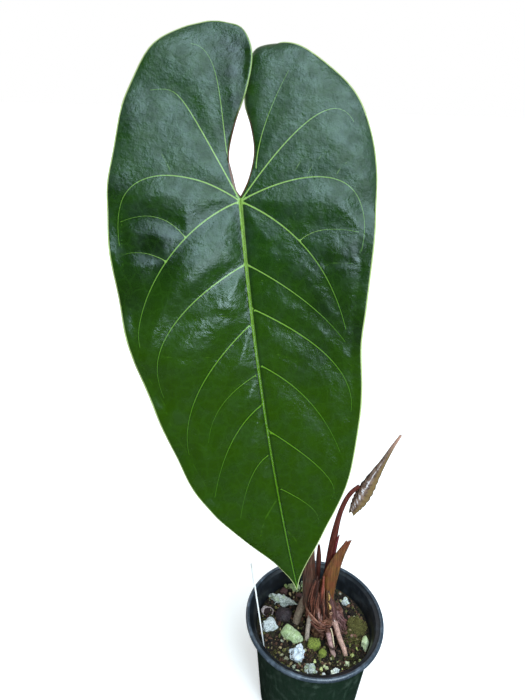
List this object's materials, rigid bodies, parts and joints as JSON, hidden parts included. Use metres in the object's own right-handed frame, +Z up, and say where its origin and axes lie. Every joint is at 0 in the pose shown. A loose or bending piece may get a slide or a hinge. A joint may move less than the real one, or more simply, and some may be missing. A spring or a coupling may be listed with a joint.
{
  "type": "potted anthurium",
  "caption": "Heart-leaved anthurium growing from a chunky bark and pumice mix in a round nursery pot, with a furled young leaf, dry sheaths and a blank plant label.",
  "frame": {"origin": "middle of the pot's flat underside, on the surface that it stands on", "axes": "+Z up, -Y towards the side that the large leaf faces, +X to the right as seen from there"},
  "size_m": [0.1881, 0.1183, 0.4971],
  "materials": {
    "pot_plastic": "satin dark green body with a charcoal rim and inside",
    "potting_mix": "damp matte, dark brown with light specks",
    "leaf_green": "satin green with paler veins and edge",
    "petiole_green": "satin green",
    "young_petiole_red": "satin reddish brown",
    "young_leaf_bronze": "glossy bronze",
    "crown_fibre": "rough fibrous reddish brown",
    "dry_sheath": "dry papery brown",
    "label_plastic": "matte white",
    "pumice_grey": "rough pitted grey",
    "pumice_green": "rough pitted pale green",
    "pumice_white": "rough pitted white",
    "pumice_pink": "rough pitted pinkish white",
    "mossy_stone": "rough with a green moss film",
    "bark": "rough dark brown",
    "moss": "soft matte olive brown"
  },
  "bodies": {
    "root": {"pot": "pot_plastic", "potting_mix": "potting_mix", "leaf_blade": "leaf_green", "stem_crown": "crown_fibre", "leaf_petiole": "petiole_green", "young_petiole": "young_petiole_red", "young_leaf": "young_leaf_bronze", "bud_scale": "dry_sheath", "cataphyll_left": "dry_sheath", "cataphyll_right": "dry_sheath", "plant_label": "label_plastic", "pumice_grey_long": "pumice_grey", "bark_round": "bark", "shell_chip": "pumice_pink", "pumice_white": "pumice_white", "pumice_green_long": "pumice_green", "mossy_stone_large": "mossy_stone", "mossy_stone_small": "mossy_stone", "pumice_crumpled": "pumice_white", "pumice_flake": "pumice_white", "perlite_chip": "pumice_white", "moss_clump": "moss", "pumice_by_wall": "pumice_green", "bark_back": "bark", "mossy_pumice_back": "mossy_stone", "pumice_back": "pumice_green", "wood_chip": "bark"}
  },
  "joints": []
}
